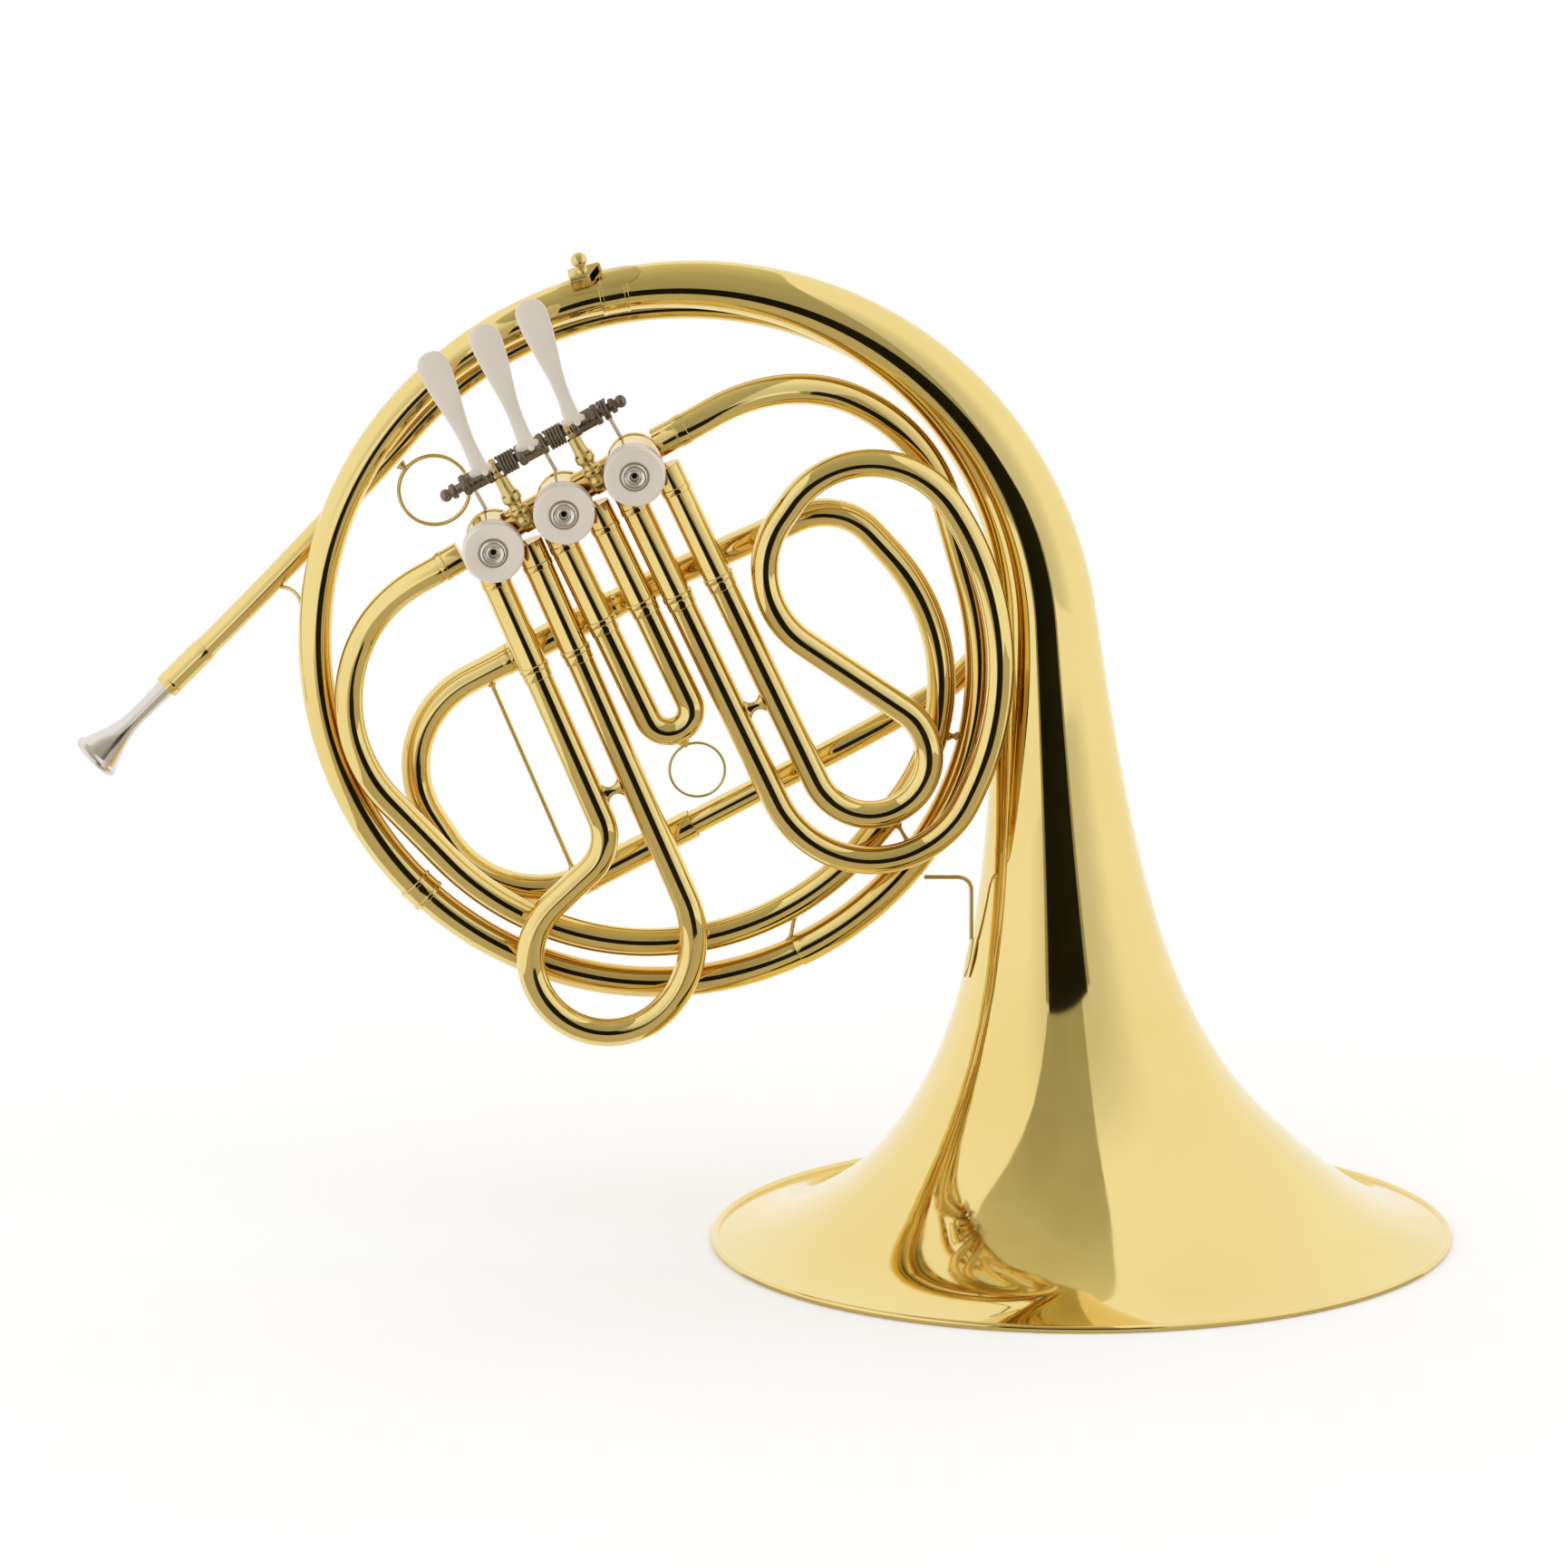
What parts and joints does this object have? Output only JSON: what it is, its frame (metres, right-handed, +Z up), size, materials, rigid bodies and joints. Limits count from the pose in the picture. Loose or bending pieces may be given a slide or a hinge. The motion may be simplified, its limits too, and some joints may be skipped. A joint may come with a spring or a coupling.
{
  "type": "single French horn",
  "caption": "French horn standing on its bell: coiled lacquered brass tube, flared bell, rotary valves with finger levers, sliding tuning crooks and a mouthpiece.",
  "frame": {"origin": "centre of the bell mouth, on the plane the rim rests on", "axes": "+Z up along the bell axis; the coil of tubing lies in the XZ plane towards -X with the mouthpiece at the -X end; the valve caps, levers and valve slides face -Y"},
  "size_m": [0.5707, 0.3082, 0.4258],
  "materials": {
    "lacquered_brass": "clear lacquer over polished yellow brass",
    "nickel_silver": "satin nickel silver",
    "dark_steel": "oiled dark steel",
    "cork": "cork, matt"
  },
  "bodies": {
    "corpus": {"bell_flare": "lacquered_brass", "bell_rim": "lacquered_brass", "bell_tail": "lacquered_brass", "ring_ferrules": "lacquered_brass", "outer_ring_upper": "lacquered_brass", "outer_ring_lower": "lacquered_brass", "ring_sleeve": "lacquered_brass", "third_valve_branch": "lacquered_brass", "leadpipe": "lacquered_brass", "mouthpiece_receiver": "lacquered_brass", "tuning_slide_sleeves": "lacquered_brass", "return_branch": "lacquered_brass", "valve_casing_1": "lacquered_brass", "valve_casing_2": "lacquered_brass", "valve_casing_3": "lacquered_brass", "bearing_plate_1": "lacquered_brass", "bearing_plate_2": "lacquered_brass", "bearing_plate_3": "lacquered_brass", "valve_cap_1": "nickel_silver", "valve_cap_2": "nickel_silver", "valve_cap_3": "nickel_silver", "lever_shaft": "dark_steel", "lever_posts": "lacquered_brass", "lever_springs": "dark_steel", "stop_corks": "cork", "slide_1_sleeves": "lacquered_brass", "slide_2_sleeves": "lacquered_brass", "slide_3_sleeves": "lacquered_brass", "finger_ring": "lacquered_brass", "bell_brace": "lacquered_brass", "tube_stays": "lacquered_brass", "lyre_socket": "lacquered_brass"},
    "mouthpiece": {"mouthpiece": "nickel_silver"},
    "tuning_slide": {"tuning_slide_inner_tubes": "nickel_silver", "tuning_slide_crook": "lacquered_brass", "tuning_slide_brace": "lacquered_brass"},
    "valve_slide_1": {"slide_1_inner_tubes": "nickel_silver", "slide_1_crook": "lacquered_brass", "slide_1_brace": "lacquered_brass"},
    "valve_slide_2": {"slide_2_inner_tubes": "nickel_silver", "slide_2_crook": "lacquered_brass", "pull_ring": "lacquered_brass"},
    "valve_slide_3": {"slide_3_inner_tubes": "nickel_silver", "slide_3_crook": "lacquered_brass", "slide_3_brace": "lacquered_brass"},
    "lever_1": {"lever_1": "nickel_silver"},
    "link_1": {"link_1": "nickel_silver"},
    "rotor_1": {"rotor_1": "nickel_silver", "stop_arm_1": "lacquered_brass"},
    "lever_2": {"lever_2": "nickel_silver"},
    "link_2": {"link_2": "nickel_silver"},
    "rotor_2": {"rotor_2": "nickel_silver", "stop_arm_2": "lacquered_brass"},
    "lever_3": {"lever_3": "nickel_silver"},
    "link_3": {"link_3": "nickel_silver"},
    "rotor_3": {"rotor_3": "nickel_silver", "stop_arm_3": "lacquered_brass"},
    "lyre_screw": {"lyre_screw": "lacquered_brass"}
  },
  "joints": [
    {"name": "mouthpiece_slide", "type": "slide", "parent": "corpus", "child": "mouthpiece", "axis": [-0.7009, 0, -0.7133], "range_m": [0, 0.024]},
    {"name": "tuning_slide", "type": "slide", "parent": "corpus", "child": "tuning_slide", "axis": [-0.8829, 0, -0.4695], "range_m": [0, 0.04]},
    {"name": "valve_slide_1", "type": "slide", "parent": "corpus", "child": "valve_slide_1", "axis": [0.3939, 0, -0.9191], "range_m": [0, 0.03]},
    {"name": "valve_slide_2", "type": "slide", "parent": "corpus", "child": "valve_slide_2", "axis": [0.4226, 0, -0.9063], "range_m": [0, 0.025]},
    {"name": "valve_slide_3", "type": "slide", "parent": "corpus", "child": "valve_slide_3", "axis": [0.4226, 0, -0.9063], "range_m": [0, 0.018]},
    {"name": "lever_1_hinge", "type": "hinge", "parent": "corpus", "child": "lever_1", "pos_m": [-0.24717, -0.04, 0.33576], "axis": [-0.8746, 0, -0.4848], "range_deg": [0, 15], "stiffness_Nm_per_rad": 0.12, "springref_deg": -20.05},
    {"name": "link_1_pivot", "type": "hinge", "parent": "lever_1", "child": "link_1", "pos_m": [-0.25214, -0.01029, 0.32822], "axis": [-0.8746, 0, -0.4848], "range_deg": [-15, 0]},
    {"name": "rotor_1_turn", "type": "hinge", "parent": "corpus", "child": "rotor_1", "pos_m": [-0.2434, -0.027, 0.304], "axis": [0, 1, 0], "range_deg": [0, 90]},
    {"name": "lever_2_hinge", "type": "hinge", "parent": "corpus", "child": "lever_2", "pos_m": [-0.22819, -0.04, 0.34627], "axis": [-0.8746, 0, -0.4848], "range_deg": [0, 15], "stiffness_Nm_per_rad": 0.12, "springref_deg": -20.05},
    {"name": "link_2_pivot", "type": "hinge", "parent": "lever_2", "child": "link_2", "pos_m": [-0.22756, -0.01029, 0.34185], "axis": [-0.8746, 0, -0.4848], "range_deg": [-15, 0]},
    {"name": "rotor_2_turn", "type": "hinge", "parent": "corpus", "child": "rotor_2", "pos_m": [-0.21427, -0.027, 0.32014], "axis": [0, 1, 0], "range_deg": [0, 90]},
    {"name": "lever_3_hinge", "type": "hinge", "parent": "corpus", "child": "lever_3", "pos_m": [-0.20921, -0.04, 0.3568], "axis": [-0.8746, 0, -0.4848], "range_deg": [0, 15], "stiffness_Nm_per_rad": 0.12, "springref_deg": -20.05},
    {"name": "link_3_pivot", "type": "hinge", "parent": "lever_3", "child": "link_3", "pos_m": [-0.20106, -0.01029, 0.35654], "axis": [-0.8746, 0, -0.4848], "range_deg": [-15, 0]},
    {"name": "rotor_3_turn", "type": "hinge", "parent": "corpus", "child": "rotor_3", "pos_m": [-0.18515, -0.027, 0.33629], "axis": [0, -1, 0], "range_deg": [0, 90]},
    {"name": "lyre_screw_turn", "type": "hinge", "parent": "corpus", "child": "lyre_screw", "pos_m": [-0.20731, -0.01866, 0.41903], "axis": [-0.2005, -0.5736, 0.7942], "continuous": true}
  ],
  "couplings": [
    {"joint": "link_1_pivot", "follows": "lever_1_hinge", "ratio": -1},
    {"joint": "rotor_1_turn", "follows": "lever_1_hinge", "ratio": 6},
    {"joint": "link_2_pivot", "follows": "lever_2_hinge", "ratio": -1},
    {"joint": "rotor_2_turn", "follows": "lever_2_hinge", "ratio": 6},
    {"joint": "link_3_pivot", "follows": "lever_3_hinge", "ratio": -1},
    {"joint": "rotor_3_turn", "follows": "lever_3_hinge", "ratio": 6}
  ]
}
